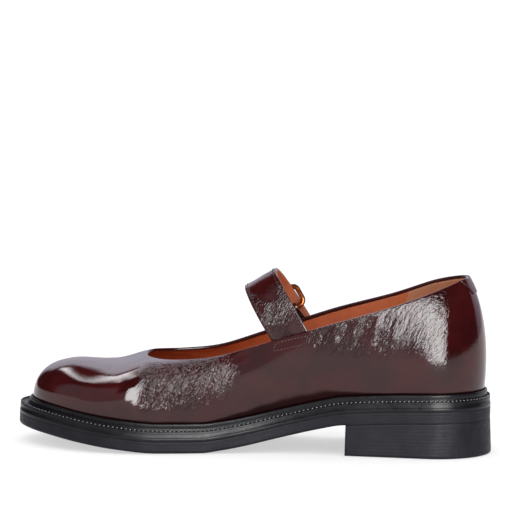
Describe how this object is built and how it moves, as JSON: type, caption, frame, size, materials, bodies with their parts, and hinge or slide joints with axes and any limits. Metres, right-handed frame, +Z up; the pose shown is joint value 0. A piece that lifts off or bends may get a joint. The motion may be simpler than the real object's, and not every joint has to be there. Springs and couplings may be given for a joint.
{
  "type": "mary jane shoe",
  "caption": "Right mary jane shoe with a rounded glossy leather upper, a buckled instep strap, a storm welt and a black rubber sole with a low block heel.",
  "frame": {"origin": "bottom centre of the shoe's bounding box, on the floor it stands on", "axes": "+X from the heel towards the toe, +Y towards the inner side of the foot, +Z up"},
  "size_m": [0.271, 0.098, 0.1022],
  "materials": {
    "sole_rubber": "satin black moulded rubber with faint horizontal ribs",
    "heel_rubber": "satin black moulded rubber with faint stacked lines",
    "welt_rubber": "satin black welt with a moulded stitch row",
    "insole_leather": "smooth tan lining leather",
    "upper_leather": "glossy crinkled dark burgundy brown patent leather, tan inside",
    "tab_leather": "glossy dark burgundy brown patent leather",
    "strap_leather": "glossy crinkled dark burgundy brown patent leather, tan inside",
    "chape_leather": "glossy dark burgundy brown patent leather",
    "buckle_brass": "polished brass",
    "prong_brass": "polished brass"
  },
  "bodies": {
    "root": {"outsole": "sole_rubber", "heel_block": "heel_rubber", "welt": "welt_rubber", "insole": "insole_leather", "upper": "upper_leather", "heel_tab": "tab_leather", "strap": "strap_leather", "chape": "chape_leather", "buckle_frame": "buckle_brass", "buckle_prong": "prong_brass"}
  },
  "joints": []
}
